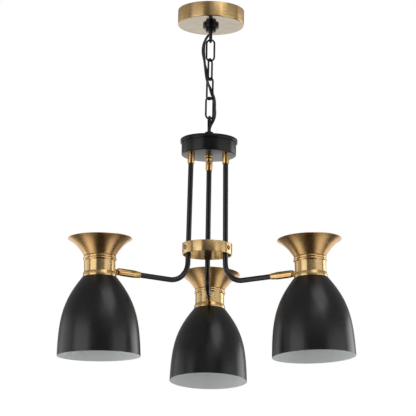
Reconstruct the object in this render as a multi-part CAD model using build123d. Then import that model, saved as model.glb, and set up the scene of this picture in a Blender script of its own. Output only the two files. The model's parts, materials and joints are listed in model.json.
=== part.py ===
from build123d import *
import math
import os

os.makedirs("parts", exist_ok=True)

# Pendant light: three tilting metal shades on a column that hangs from a ceiling canopy by a chain.
# Millimetres, +Z up. The origin is in the ceiling plane, on the line that the chain hangs along.
# Arm 1 points to the left front, arm 2 to the right front and arm 3 to the back.

arm_angles_deg = (210.0, 330.0, 90.0)

# Fits
running_gap = 0.3
seat_gap = 0.05
thread_gap = 0.1
cut_overrun = 3.0

# Ceiling strap
strap_end_gap = 4.8
strap_width = 20.0
strap_thick = 2.4
strap_slot_end = 3.3
strap_slot_length = 22.0
strap_slot_width = 4.6
ground_screw_shank_radius = 1.9
ground_screw_head_radius = 4.0
ground_screw_head_height = 2.0
screw_slot_width = 0.8
screw_slot_depth = 0.8

# Canopy and the hollow stem through it
canopy_radius = 60.0
canopy_height = 27.3
canopy_wall = 1.2
canopy_edge_radius = 1.5
stem_wall = 1.5
stem_top_gap = 0.4
stem_entry = 4.0
stem_nut_flats = 15.0
stem_nut_height = 3.0
ring_nut_radius = 14.5
ring_nut_height = 5.7
ring_nut_edge_radius = 1.6
canopy_collar_radius = 9.25
canopy_collar_height = 6.5
collar_edge_radius = 0.8
canopy_loop_wire = 4.0
canopy_loop_width = 17.4
canopy_loop_drop = 21.1
canopy_loop_yaw_deg = -80.0
loop_seat = 1.5

# Chain
link_wire = 3.1
link_length = 42.6
link_width = 17.1
link_yaws_deg = (0.0, 64.0, 141.0, 204.0)

# Supply lead, woven through the chain
lead_diameter = 5.0
lead_gap = 0.1
bushing_wall = 0.75
bushing_flange_step = 0.85
bushing_flange_height = 1.0
lead_run_share = 0.45
lead_route = (
    ((0.0, 0.0, -37.5), (0.0, 0.0, -43.0), (-6.6, -1.6, -49.2), (-11.2, -3.2, -60.0), (-11.9, -3.4, -75.0)),
    ((-11.0, -3.6, -91.0), (-9.0, -3.6, -107.0)),
    ((-7.4, -2.0, -121.5), (-5.0, -1.2, -133.5), (0.4, 0.2, -145.0)),
    ((5.0, 0.8, -155.0), (9.0, -0.9, -166.5), (9.8, -2.2, -180.0)),
    ((8.8, -2.2, -192.0), (6.4, -1.2, -205.0), (2.4, -0.2, -216.0), (0.0, 0.0, -224.5), (0.0, 0.0, -232.0)),
)

# Hub: a loop, a lid, a cup and the hollow rod that holds them together
hub_loop_wire = 3.8
hub_loop_width = 17.0
hub_loop_height = 30.6
hub_loop_foot_width = 14.0
hub_loop_yaw_deg = 284.0
hub_collar_radius = 7.25
hub_collar_height = 14.0
hub_bushing_wall = 0.45
lid_radius = 51.2
lid_wall = 2.0
lid_plate = 1.5
lid_lip = 6.8
lid_edge_radius = 1.2
hub_depth = 29.3
cup_wall = 1.2
cup_floor = 1.5
cup_edge_radius = 2.0
rod_entry = 7.5
rod_nut_height = 4.0
rod_nut_flats = 15.0
rod_window_width = 8.0
rod_window_height = 12.0
rod_window_drop = 9.0
rod_foot = 1.6
finial_flange_radius = 6.5
finial_flange_height = 2.6
finial_ball_radius = 5.4
finial_drop = 6.2
wire_nut_radius = 4.2
wire_nut_tip_radius = 2.8
wire_nut_height = 13.0
wire_nut_bore_radius = 2.2
wire_nut_bore_depth = 8.0
wire_nut_turn_deg = 60.0

# Arm tubes, with a ferrule and a nut where each one leaves the hub
tube_radius = 4.65
tube_wall = 1.0
tube_inset = 12.3
tube_splay_deg = 0.78
tube_stand = 12.8
ferrule_wall = 1.6
ferrule_length = 19.5
ferrule_edge = 1.2
arm_nut_flats = 13.0
arm_nut_height = 4.0
arm_bend_radius = 34.0
arm_rise_deg = 2.0
pivot_radius = 173.0
pivot_drop = 229.3

# Ring round the three tubes
ring_drop = 161.7
ring_height = 20.0
ring_wall = 1.8
ring_screw_shank_radius = 1.9
ring_screw_length = 6.5
ring_screw_head_radius = 4.4
ring_screw_head_height = 2.4

# Tilting joint at the end of each arm
sleeve_wall = 2.05
sleeve_length = 41.5
sleeve_tube_depth = 14.0
sleeve_wire_radius = 3.2
tongue_thick = 5.0
tongue_eye_radius = 5.2
tongue_height = 8.0
tongue_slot_extra = 0.5
boss_start = 7.3
boss_radius = 5.2
boss_shank_radius = 2.4
boss_head_radius = 4.0
boss_head_height = 1.5
pin_radius = 1.6
pin_end_inset = 0.5

# Lamp head: neck, trumpet collar, shade and lampholder. A positive lean has the head's top outwards
head_lean_deg = (1.0, -3.0, 5.0)
neck_reach = 9.2
pivot_below_neck_top = 25.2
neck_height = 37.2
neck_wall = 1.2
neck_plate = 2.0
neck_shoulder_inset = 0.5
neck_ridge_rise = 1.3
neck_groove_rise = 0.4
neck_bead_rise = 2.0
neck_foot_rise = 2.2
neck_ridge_height = 4.8
neck_bead_height = 4.8
neck_flare_height = 8.6
neck_flare_step = 0.5
trumpet_height = 29.5
trumpet_wall = 1.2
trumpet_plate = 2.0
trumpet_throat_step = 0.5
trumpet_rim_radius = 55.6
trumpet_lip = 1.2
trumpet_throat_angle_deg = 29.5
trumpet_throat_reach = 12.8
trumpet_rim_angle_deg = 61.2
trumpet_rim_reach = 14.6
shade_height = 136.5
shade_wall = 1.0
shade_plate = 1.2
shade_rim_radius = 71.6
shade_top_angle_deg = 38.8
shade_top_reach = 54.0
shade_rim_angle_deg = 1.85
shade_rim_reach = 64.5
bolt_radius = 3.0
bolt_head_radius = 6.0
bolt_head_height = 3.2
bolt_entry = 6.0
holder_cap_wall = 3.05
holder_cap_height = 26.0
holder_cap_plate = 8.0
holder_neck_gap = 2.2
holder_shoulder_step = 3.5
holder_shoulder_height = 3.2
holder_skirt_wall = 6.05
holder_skirt_length = 27.0
holder_edge_radius = 2.0
socket_bore_radius = 13.25
socket_shell_wall = 0.6
socket_shell_length = 22.0
socket_shell_inset = 4.0
contact_radius = 4.5
contact_height = 2.5
shade_ring_wall = 5.5
shade_ring_height = 5.0

# Widths of the lead's way: a bushing round it, and the hollow stem or hub loop round the bushing
lead_hole_radius = lead_diameter / 2 + lead_gap
stem_bore_radius = lead_hole_radius + bushing_wall + seat_gap
stem_radius = stem_bore_radius + stem_wall
hub_inlet_radius = lead_hole_radius + hub_bushing_wall + seat_gap

# Places along the strap: the ground screw is midway between the lock nut's corner and a slot
strap_length = 2 * (canopy_radius - canopy_wall - strap_end_gap)
strap_slot_offset = (strap_length - strap_slot_length) / 2 - strap_slot_end
ground_screw_offset = (stem_nut_flats / math.sqrt(3) + strap_slot_offset - strap_slot_length / 2) / 2

# Widths in the hub and along the arms
cup_radius = lid_radius - lid_wall - running_gap
tube_hub_radius = cup_radius - cup_wall - tube_inset
wire_nut_place_radius = (rod_nut_flats / math.sqrt(3) + tube_hub_radius) / 2
tube_bore_radius = tube_radius - tube_wall
ferrule_radius = tube_radius + ferrule_wall
sleeve_radius = tube_radius + sleeve_wall

# Widths in a lamp head, from the lamp socket outwards
shell_hole_radius = socket_bore_radius + socket_shell_wall + thread_gap
holder_cap_radius = shell_hole_radius + holder_cap_wall
holder_skirt_radius = shell_hole_radius + holder_skirt_wall
holder_shoulder_radius = holder_skirt_radius + holder_shoulder_step
shade_ring_radius = holder_skirt_radius + shade_ring_wall
neck_bore_radius = holder_shoulder_radius + holder_neck_gap
neck_radius = neck_bore_radius + neck_wall
neck_foot_radius = neck_radius + neck_foot_rise
trumpet_throat_radius = neck_radius + trumpet_throat_step
head_offset = neck_reach + neck_radius

# Heights down the ceiling end
canopy_floor_z = -canopy_height
ring_nut_foot_z = canopy_floor_z - ring_nut_height
canopy_collar_foot_z = ring_nut_foot_z - canopy_collar_height
canopy_eye_z = canopy_collar_foot_z - canopy_loop_drop + canopy_loop_wire / 2

# Heights down the chain: each wire lies in the loop above it with a running gap
link_pitch = link_length - 2 * link_wire - running_gap
first_link_top_z = canopy_eye_z + canopy_loop_wire / 2 + running_gap + link_wire
link_tops_z = [first_link_top_z - link_pitch * n for n in range(len(link_yaws_deg))]
last_link_eye_z = link_tops_z[-1] - link_length + link_wire / 2
hub_loop_top_z = last_link_eye_z + link_wire / 2 + running_gap + hub_loop_wire
hub_collar_top_z = hub_loop_top_z - hub_loop_height

# Heights down the column
lid_top_z = hub_collar_top_z - hub_collar_height
lid_under_z = lid_top_z - lid_plate
hub_foot_z = lid_top_z - hub_depth
cup_floor_z = hub_foot_z + cup_floor
ring_top_z = hub_foot_z - ring_drop
ring_foot_z = ring_top_z - ring_height
ring_middle_z = (ring_top_z + ring_foot_z) / 2

# Arm corner: where the splayed tube's line meets the rising arm's line
pivot_z = hub_foot_z - pivot_drop
splay = math.tan(math.radians(tube_splay_deg))
rise = math.tan(math.radians(arm_rise_deg))
corner_radius = (tube_hub_radius + (pivot_drop + pivot_radius * rise) * splay) / (1 + splay * rise)
corner_z = pivot_z - (pivot_radius - corner_radius) * rise


def tube_place_radius(height):
    return tube_hub_radius + (hub_foot_z - height) * splay


ring_bore_radius = tube_place_radius(ring_foot_z) + tube_radius + seat_gap
ring_radius = ring_bore_radius + ring_wall
slot_half_width = tongue_thick / 2 + running_gap
slot_depth = tongue_eye_radius + tongue_slot_extra

# Heights in a lamp head, from the tilt axis
neck_top_z = pivot_below_neck_top
neck_foot_z = neck_top_z - neck_height
trumpet_rim_z = neck_top_z + trumpet_height
shade_rim_z = neck_foot_z - shade_height
holder_top_z = neck_top_z - neck_plate
holder_skirt_foot_z = neck_foot_z - holder_skirt_length


def disc(radius, foot, top):
    return Pos(0, 0, foot) * Cylinder(radius, top - foot, align=(Align.CENTER, Align.CENTER, Align.MIN))


def pipe(radius, bore, foot, top):
    return disc(radius, foot, top) - disc(bore, foot - cut_overrun, top + cut_overrun)


def hex_nut(flats, bore, foot, top):
    body = extrude(RegularPolygon(flats / 2, 6, major_radius=False), top - foot)
    return Pos(0, 0, foot) * body - disc(bore, foot - cut_overrun, top + cut_overrun)


def at(radius, height):
    return (radius, 0, height)


def turned(*edges):
    return revolve(make_face(edges), Axis.Z)


def swept(path, radius):
    return sweep(Plane(origin=path @ 0, z_dir=path % 0) * Circle(radius), path=path)


def save(name, shape):
    shape.label = name
    export_step(shape, f"parts/{name}.step")


def on_arm(index, shape):
    return Rot(0, 0, arm_angles_deg[index]) * shape


def on_each_arm(shape):
    return [on_arm(index, shape) for index in range(len(arm_angles_deg))]


def grouped(shapes):
    solids = [solid for shape in shapes for solid in shape.solids()]
    return Compound(children=solids)


# Mounting strap with two screw slots, the stem's hole and the ground screw's hole
def mounting_strap():
    strap = Pos(0, 0, -strap_thick) * Box(
        strap_length, strap_width, strap_thick, align=(Align.CENTER, Align.CENTER, Align.MIN)
    )
    slot = extrude(SlotOverall(strap_slot_length, strap_slot_width), strap_thick + 2 * cut_overrun)
    for side in (-1, 1):
        strap -= Pos(side * strap_slot_offset, 0, -strap_thick - cut_overrun) * slot
    strap -= disc(stem_radius + seat_gap, -strap_thick - cut_overrun, cut_overrun)
    hole = disc(ground_screw_shank_radius + seat_gap, -strap_thick - cut_overrun, cut_overrun)
    return strap - Pos(ground_screw_offset, 0, 0) * hole


def ground_screw():
    head_foot_z = -strap_thick - ground_screw_head_height
    screw = disc(ground_screw_head_radius, head_foot_z, -strap_thick)
    screw += disc(ground_screw_shank_radius, -strap_thick, -stem_top_gap)
    screw -= Pos(0, 0, head_foot_z) * Box(
        2 * ground_screw_head_radius + cut_overrun, screw_slot_width, 2 * screw_slot_depth
    )
    return Pos(ground_screw_offset, 0, 0) * screw


def canopy():
    shell = disc(canopy_radius, canopy_floor_z, 0)
    shell = fillet(shell.edges().group_by(Axis.Z)[0], canopy_edge_radius)
    shell -= disc(canopy_radius - canopy_wall, canopy_floor_z + canopy_wall, cut_overrun)
    return shell - disc(stem_radius + seat_gap, canopy_floor_z - cut_overrun, 0)


def canopy_stem():
    return pipe(stem_radius, stem_bore_radius, ring_nut_foot_z - stem_entry, -stem_top_gap)


def stem_lock_nut():
    return hex_nut(stem_nut_flats, stem_radius + seat_gap, -strap_thick - stem_nut_height, -strap_thick)


def canopy_ring_nut():
    nut = disc(ring_nut_radius, ring_nut_foot_z, canopy_floor_z)
    nut = fillet(nut.edges().group_by(Axis.Z)[0], ring_nut_edge_radius)
    return nut - disc(stem_radius + seat_gap, ring_nut_foot_z - cut_overrun, 0)


# Loop under the canopy: a collar on the stem with a half round of wire below it
def canopy_loop():
    leg = (canopy_loop_width - canopy_loop_wire) / 2
    arc_z = canopy_eye_z + leg
    root_z = canopy_collar_foot_z + loop_seat
    path = Wire(
        [
            Line(at(-leg, root_z), at(-leg, arc_z)),
            ThreePointArc(at(-leg, arc_z), at(0, canopy_eye_z), at(leg, arc_z)),
            Line(at(leg, arc_z), at(leg, root_z)),
        ]
    )
    collar = disc(canopy_collar_radius, canopy_collar_foot_z, ring_nut_foot_z)
    collar = fillet(collar.edges().group_by(Axis.Z)[0], collar_edge_radius)
    body = collar + swept(path, canopy_loop_wire / 2)
    stem_hole_foot_z = ring_nut_foot_z - stem_entry - seat_gap
    body -= disc(stem_radius + seat_gap, stem_hole_foot_z, ring_nut_foot_z + cut_overrun)
    body -= disc(stem_bore_radius, canopy_collar_foot_z - cut_overrun, ring_nut_foot_z)
    return Rot(0, 0, canopy_loop_yaw_deg) * body


def canopy_bushing():
    top_z = ring_nut_foot_z - stem_entry - 2 * seat_gap
    radius = stem_bore_radius - seat_gap
    body = disc(radius, canopy_collar_foot_z, top_z)
    flange_foot_z = canopy_collar_foot_z - bushing_flange_height
    body += disc(radius + bushing_flange_step, flange_foot_z, canopy_collar_foot_z)
    return body - disc(lead_hole_radius, flange_foot_z - cut_overrun, 0)


# Chain link: one oval of round wire
def chain_link(index):
    half = (link_width - link_wire) / 2
    top_z = link_tops_z[index] - link_wire / 2 - half
    foot_z = link_tops_z[index] - link_length + link_wire / 2 + half
    path = Wire(
        [
            Line(at(-half, foot_z), at(-half, top_z)),
            ThreePointArc(at(-half, top_z), at(0, top_z + half), at(half, top_z)),
            Line(at(half, top_z), at(half, foot_z)),
            ThreePointArc(at(half, foot_z), at(0, foot_z - half), at(-half, foot_z)),
        ]
    )
    return Rot(0, 0, link_yaws_deg[index]) * swept(path, link_wire / 2)


# Supply lead: one spare length of round cable, in five spans that meet inside the links' middles.
# A corner of the route has a bend that uses the same share of the shorter run beside it
def lead_radii(points):
    runs = [Vector(*a) - Vector(*b) for a, b in zip(points[1:], points)]
    radii = []
    for before, after in zip(runs, runs[1:]):
        half_turn = math.radians(before.get_angle(after)) / 2
        radii.append(lead_run_share * min(before.length, after.length) / math.tan(half_turn))
    return radii


def lead_spans():
    radii = lead_radii([point for points in lead_route for point in points])
    print("lead bend radii", [round(radius, 1) for radius in radii])
    seams = [[(Vector(*a[-1]) + Vector(*b[0])) / 2] for a, b in zip(lead_route, lead_route[1:])]
    ends = [[], *seams, []]
    spans = []
    for index, points in enumerate(lead_route):
        route = [*ends[index], *points, *ends[index + 1]]
        bends = radii[: len(route) - 2]
        radii = radii[len(bends) :]
        path = FilletPolyline(*route, radius=bends)
        span = swept(path, lead_diameter / 2)
        section = math.pi * lead_diameter**2 / 4
        share = span.volume / section / path.length
        print(f"lead span {index + 1}: length {path.length:.1f}, volume share {share:.4f}")
        spans.append(span)
    return spans


# Loop on the hub: a narrow collar with a tapering eye of wire above it
def hub_loop():
    arc = (hub_loop_width - hub_loop_wire) / 2
    arc_z = hub_loop_top_z - hub_loop_wire / 2 - arc
    foot = (hub_loop_foot_width - hub_loop_wire) / 2
    root_z = hub_collar_top_z - loop_seat
    to_root = math.atan2(root_z - arc_z, foot)
    touch = to_root + math.acos(arc / math.hypot(foot, root_z - arc_z))
    side = arc * math.cos(touch)
    side_z = arc_z + arc * math.sin(touch)
    path = Wire(
        [
            Line(at(foot, root_z), at(side, side_z)),
            ThreePointArc(at(side, side_z), at(0, arc_z + arc), at(-side, side_z)),
            Line(at(-side, side_z), at(-foot, root_z)),
        ]
    )
    collar = disc(hub_collar_radius, lid_top_z, hub_collar_top_z)
    collar = fillet(collar.edges().group_by(Axis.Z)[-1], collar_edge_radius)
    body = collar + swept(path, hub_loop_wire / 2)
    body -= disc(stem_radius + seat_gap, lid_top_z - cut_overrun, lid_top_z + rod_entry + seat_gap)
    body -= disc(hub_inlet_radius, lid_top_z, hub_collar_top_z + cut_overrun)
    return Rot(0, 0, hub_loop_yaw_deg) * body


def hub_bushing():
    foot_z = lid_top_z + rod_entry + 2 * seat_gap
    return pipe(hub_inlet_radius - seat_gap, lead_hole_radius, foot_z, hub_collar_top_z)


def hub_lid():
    lid = disc(lid_radius, lid_top_z - lid_lip, lid_top_z)
    lid = fillet(lid.edges().group_by(Axis.Z)[-1], lid_edge_radius)
    lid -= disc(lid_radius - lid_wall, lid_top_z - lid_lip - cut_overrun, lid_under_z)
    return lid - disc(stem_radius + seat_gap, lid_top_z - lid_lip, lid_top_z + cut_overrun)


def hub_cup():
    cup = disc(cup_radius, hub_foot_z, lid_under_z)
    cup = fillet(cup.edges().group_by(Axis.Z)[0], cup_edge_radius)
    cup -= disc(cup_radius - cup_wall, cup_floor_z, lid_under_z + cut_overrun)
    cup -= disc(stem_radius + seat_gap, hub_foot_z - cut_overrun, lid_under_z)
    hole = disc(tube_radius + thread_gap, hub_foot_z - cut_overrun, lid_under_z)
    for place in on_each_arm(Pos(tube_place_radius(hub_foot_z), 0, 0) * hole):
        cup -= place
    return cup


def hub_rod():
    rod = pipe(stem_radius, stem_bore_radius, hub_foot_z - rod_foot, lid_top_z + rod_entry)
    window = Box(
        2 * stem_radius, rod_window_width, rod_window_height, align=(Align.MIN, Align.CENTER, Align.MAX)
    )
    window = fillet(window.edges().filter_by(Axis.X), rod_window_width / 4)
    return rod - Pos(0, 0, lid_under_z - rod_window_drop) * window


def hub_lock_nut():
    return hex_nut(rod_nut_flats, stem_radius + seat_gap, lid_under_z - rod_nut_height, lid_under_z)


def hub_finial():
    flange_foot_z = hub_foot_z - finial_flange_height
    flange = disc(finial_flange_radius, flange_foot_z, hub_foot_z)
    flange = fillet(flange.edges().group_by(Axis.Z)[0], finial_flange_height / 3)
    ball = Pos(0, 0, hub_foot_z - finial_drop) * Sphere(finial_ball_radius)
    body = flange + split(ball, Plane.XY.offset(hub_foot_z - finial_flange_height / 2), keep=Keep.BOTTOM)
    return body - disc(stem_radius + seat_gap, hub_foot_z - rod_foot - seat_gap, hub_foot_z + cut_overrun)


def wire_nut():
    nut = Cone(
        wire_nut_radius, wire_nut_tip_radius, wire_nut_height, align=(Align.CENTER, Align.CENTER, Align.MIN)
    )
    nut = fillet(nut.edges().group_by(Axis.Z)[-1], wire_nut_tip_radius / 2)
    nut -= disc(wire_nut_bore_radius, -cut_overrun, wire_nut_bore_depth)
    return Rot(0, 0, wire_nut_turn_deg) * Pos(wire_nut_place_radius, 0, cup_floor_z) * nut


# Arm tube: down beside the axis, round the elbow and out to the tilting joint
def arm_path():
    tube_top_z = hub_foot_z + tube_stand
    lean = math.radians(arm_rise_deg)
    tube_end = sleeve_length - sleeve_tube_depth + seat_gap
    return FilletPolyline(
        at(tube_place_radius(tube_top_z), tube_top_z),
        at(corner_radius, corner_z),
        at(pivot_radius - tube_end * math.cos(lean), pivot_z - tube_end * math.sin(lean)),
        radius=arm_bend_radius,
    )


def arm_tube():
    path = arm_path()
    tube = swept(path, tube_radius) - swept(path, tube_bore_radius)
    hole = Pos(tube_place_radius(ring_middle_z), 0, ring_middle_z) * Rot(0, 90, 0) * Cylinder(
        ring_screw_shank_radius + seat_gap,
        tube_radius + cut_overrun,
        align=(Align.CENTER, Align.CENTER, Align.MIN),
    )
    return tube - hole


def beside_tube(shape):
    tilt = Rot(0, -tube_splay_deg, 0)
    return Pos(tube_place_radius(hub_foot_z), 0, hub_foot_z) * tilt * shape


def cut_at(shape, height, keep):
    return split(shape, Plane.XY.offset(height), keep=keep)


def arm_ferrule():
    body = pipe(ferrule_radius, tube_radius + seat_gap, -ferrule_length, cut_overrun)
    rim = body.edges().group_by(Axis.Z)[0].sort_by(SortBy.RADIUS)[-1]
    return cut_at(beside_tube(chamfer(rim, ferrule_edge)), hub_foot_z, Keep.BOTTOM)


def arm_lock_nut():
    body = hex_nut(arm_nut_flats, tube_radius + seat_gap, -cut_overrun, cup_floor + arm_nut_height)
    return cut_at(beside_tube(body), cup_floor_z, Keep.TOP)


# Ring round the tubes and its three screws
def centre_ring():
    ring = pipe(ring_radius, ring_bore_radius, ring_foot_z, ring_top_z)
    hole = Pos(0, 0, ring_middle_z) * Rot(0, 90, 0) * Cylinder(
        ring_screw_shank_radius + seat_gap,
        ring_radius + cut_overrun,
        align=(Align.CENTER, Align.CENTER, Align.MIN),
    )
    for place in on_each_arm(hole):
        ring -= place
    return ring


def ring_screw():
    dome_radius = (ring_screw_head_radius**2 + ring_screw_head_height**2) / (2 * ring_screw_head_height)
    dome = Pos(0, 0, ring_screw_head_height - dome_radius) * Sphere(dome_radius)
    head = dome & disc(ring_screw_head_radius, 0, ring_screw_head_height)
    head -= Pos(0, 0, ring_screw_head_height) * Box(
        2 * ring_screw_head_radius, screw_slot_width, 2 * screw_slot_depth
    )
    screw = head + disc(ring_screw_shank_radius, -ring_screw_length, 0)
    return Pos(ring_radius, 0, ring_middle_z) * Rot(0, 90, 0) * screw


# Tilting joint, built at its pivot with the arm along -X, then placed on the arm
def at_pivot(index, shape):
    return on_arm(index, Pos(pivot_radius, 0, pivot_z) * shape)


def along_x(radius, start, end):
    rod = Cylinder(radius, end - start, align=(Align.CENTER, Align.CENTER, Align.MIN))
    return Pos(start, 0, 0) * Rot(0, 90, 0) * rod


def along_y(radius, length):
    return Rot(90, 0, 0) * Cylinder(radius, length)


def knuckle_sleeve():
    body = along_x(sleeve_radius, -sleeve_length, 0)
    body = fillet(body.edges().group_by(Axis.X)[0], sleeve_radius - tube_radius - thread_gap - seat_gap * 2)
    body += Sphere(sleeve_radius)
    body -= along_x(tube_radius + seat_gap, -sleeve_length - cut_overrun, sleeve_tube_depth - sleeve_length)
    body -= along_x(sleeve_wire_radius, -sleeve_length, 0)
    body -= Pos(-slot_depth, 0, 0) * Box(
        slot_depth + sleeve_radius + cut_overrun,
        2 * slot_half_width,
        2 * (sleeve_radius + cut_overrun),
        align=(Align.MIN, Align.CENTER, Align.CENTER),
    )
    body -= along_y(pin_radius + seat_gap, 2 * (sleeve_radius + cut_overrun))
    return Rot(0, -arm_rise_deg, 0) * body


def knuckle_pin():
    return along_y(pin_radius, 2 * (sleeve_radius - pin_end_inset))


# Neck's outer outline, which the tongue's boss is shaped to
def neck_outline():
    ridge_z = neck_top_z - neck_ridge_height
    bead_z = ridge_z - neck_bead_height
    flare_z = neck_foot_z + neck_flare_height
    flare_mid_radius = neck_foot_radius - neck_flare_step / 2
    groove = at(neck_radius + neck_groove_rise, ridge_z)
    return [
        ThreePointArc(
            at(neck_radius - neck_shoulder_inset, neck_top_z),
            at(neck_radius + neck_ridge_rise, neck_top_z - neck_ridge_height / 2),
            groove,
        ),
        ThreePointArc(
            groove,
            at(neck_radius + neck_bead_rise, ridge_z - neck_bead_height / 2),
            at(neck_radius, bead_z),
        ),
        Line(at(neck_radius, bead_z), at(neck_radius, flare_z)),
        Line(at(neck_radius, flare_z), at(neck_radius + neck_flare_step, flare_z)),
        ThreePointArc(
            at(neck_radius + neck_flare_step, flare_z),
            at(flare_mid_radius, (flare_z + neck_foot_z) / 2),
            at(neck_foot_radius, neck_foot_z),
        ),
    ]


def neck_blank():
    return turned(
        Line(at(0, neck_top_z), at(neck_radius - neck_shoulder_inset, neck_top_z)),
        *neck_outline(),
        Line(at(neck_foot_radius, neck_foot_z), at(0, neck_foot_z)),
        Line(at(0, neck_foot_z), at(0, neck_top_z)),
    )


def neck():
    body = neck_blank()
    body -= disc(neck_bore_radius, neck_foot_z - cut_overrun, neck_top_z - neck_plate)
    body -= disc(bolt_radius + seat_gap, neck_foot_z, neck_top_z + cut_overrun)
    return Pos(head_offset, 0, 0) * body - along_x(boss_shank_radius + seat_gap, 0, head_offset)


def knuckle_tongue():
    tongue = along_y(tongue_eye_radius, tongue_thick)
    tongue += Box(boss_start, tongue_thick, tongue_height, align=(Align.MIN, Align.CENTER, Align.CENTER))
    wall_x = neck_reach + neck_wall
    boss = along_x(boss_radius, boss_start, head_offset) - Pos(head_offset, 0, 0) * neck_blank()
    shank = along_x(boss_shank_radius, boss_start, wall_x + boss_head_height)
    head = along_x(boss_head_radius, wall_x, wall_x + boss_head_height)
    head -= Pos(head_offset, 0, 0) * (neck_blank() - disc(neck_bore_radius, neck_foot_z, neck_top_z))
    return tongue + boss + shank + head - along_y(pin_radius + seat_gap, tongue_thick + cut_overrun)


# Trumpet collar above the neck, open upwards. A handle leaves its point at an angle from upright
def handle(point, reach, angle_deg):
    angle = math.radians(angle_deg)
    return at(point[0] + reach * math.sin(angle), point[2] + reach * math.cos(angle))


def trumpet_curve(inset):
    throat = at(trumpet_throat_radius - inset, neck_top_z)
    rim = at(trumpet_rim_radius - inset, trumpet_rim_z - trumpet_lip)
    return Bezier(
        throat,
        handle(throat, trumpet_throat_reach, trumpet_throat_angle_deg),
        handle(rim, -trumpet_rim_reach, trumpet_rim_angle_deg),
        rim,
    )


def trumpet():
    outer = trumpet_curve(0)
    inner = trumpet_curve(trumpet_wall / math.cos(math.radians(trumpet_throat_angle_deg)))
    body = turned(
        outer,
        Line(outer @ 1, at(trumpet_rim_radius, trumpet_rim_z)),
        Line(at(trumpet_rim_radius, trumpet_rim_z), (inner @ 1) + Vector(0, 0, trumpet_lip)),
        Line((inner @ 1) + Vector(0, 0, trumpet_lip), inner @ 1),
        inner,
        Line(inner @ 0, outer @ 0),
    )
    body += disc(trumpet_throat_radius - trumpet_wall, neck_top_z, neck_top_z + trumpet_plate)
    return body - disc(bolt_radius + seat_gap, neck_top_z - cut_overrun, neck_top_z + cut_overrun)


def head_bolt():
    floor_z = neck_top_z + trumpet_plate
    head = disc(bolt_head_radius, floor_z, floor_z + bolt_head_height)
    head = fillet(head.edges().group_by(Axis.Z)[-1], bolt_head_height / 2)
    return head + disc(bolt_radius, holder_top_z - bolt_entry, floor_z)


# Lampholder: a cap under the neck's plate, a shoulder on the shade and a threaded skirt below it
def lampholder():
    cap_foot_z = holder_top_z - holder_cap_height
    shoulder_top_z = neck_foot_z + holder_shoulder_height
    cap = disc(holder_cap_radius, neck_foot_z, holder_top_z)
    cap = fillet(cap.edges().group_by(Axis.Z)[-1], holder_edge_radius)
    body = cap + disc(holder_skirt_radius, holder_skirt_foot_z, cap_foot_z)
    body += disc(holder_shoulder_radius, neck_foot_z, shoulder_top_z)
    body -= disc(shell_hole_radius, holder_skirt_foot_z - cut_overrun, holder_top_z - holder_cap_plate)
    bolt_end_z = holder_top_z - bolt_entry - seat_gap
    return body - disc(bolt_radius + seat_gap, bolt_end_z, holder_top_z + cut_overrun)


def socket_contacts():
    shell_foot_z = holder_skirt_foot_z + socket_shell_inset
    shell_radius = socket_bore_radius + socket_shell_wall
    shell = pipe(shell_radius, socket_bore_radius, shell_foot_z, shell_foot_z + socket_shell_length)
    seat_z = holder_top_z - holder_cap_plate
    contact = disc(contact_radius, seat_z - contact_height, seat_z)
    contact = fillet(contact.edges().group_by(Axis.Z)[0], contact_height / 2)
    return grouped([shell, contact])


# Shade: a bell of spun sheet with a flat holed top
def shade_curve(inset):
    top = at(neck_foot_radius - inset / math.cos(math.radians(shade_top_angle_deg)), neck_foot_z)
    rim = at(shade_rim_radius - inset, shade_rim_z)
    return Bezier(
        top,
        handle(top, -shade_top_reach, -shade_top_angle_deg),
        handle(rim, shade_rim_reach, -shade_rim_angle_deg),
        rim,
    )


def shade():
    outer = shade_curve(0)
    inner = shade_curve(shade_wall)
    body = turned(outer, Line(outer @ 1, inner @ 1), inner, Line(inner @ 0, outer @ 0))
    plate_foot_z = neck_foot_z - shade_plate
    body += disc(neck_foot_radius - shade_wall, plate_foot_z, neck_foot_z)
    hole = disc(holder_skirt_radius + thread_gap, plate_foot_z - cut_overrun, neck_foot_z + cut_overrun)
    return body - hole


def shade_ring():
    top_z = neck_foot_z - shade_plate
    return pipe(shade_ring_radius, holder_skirt_radius + seat_gap, top_z - shade_ring_height, top_z)


def on_head_axis(shape):
    return Pos(head_offset, 0, 0) * shape


save("mounting_strap", mounting_strap())
save("ground_screw", ground_screw())
save("canopy", canopy())
save("canopy_stem", canopy_stem())
save("stem_lock_nut", stem_lock_nut())
save("canopy_ring_nut", canopy_ring_nut())
save("canopy_loop", canopy_loop())
save("canopy_bushing", canopy_bushing())

for index in range(len(link_yaws_deg)):
    save(f"chain_link_{index + 1}", chain_link(index))
for index, span in enumerate(lead_spans()):
    save(f"lead_span_{index + 1}", span)

save("hub_loop", hub_loop())
save("hub_bushing", hub_bushing())
save("hub_lid", hub_lid())
save("hub_cup", hub_cup())
save("hub_rod", hub_rod())
save("hub_lock_nut", hub_lock_nut())
save("hub_finial", hub_finial())
save("wire_connectors", grouped(on_each_arm(wire_nut())))
save("arm_ferrules", grouped(on_each_arm(arm_ferrule())))
save("arm_lock_nuts", grouped(on_each_arm(arm_lock_nut())))
save("centre_ring", centre_ring())
save("ring_screws", grouped(on_each_arm(ring_screw())))
save("knuckle_pins", grouped([at_pivot(index, knuckle_pin()) for index in range(len(arm_angles_deg))]))

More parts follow.
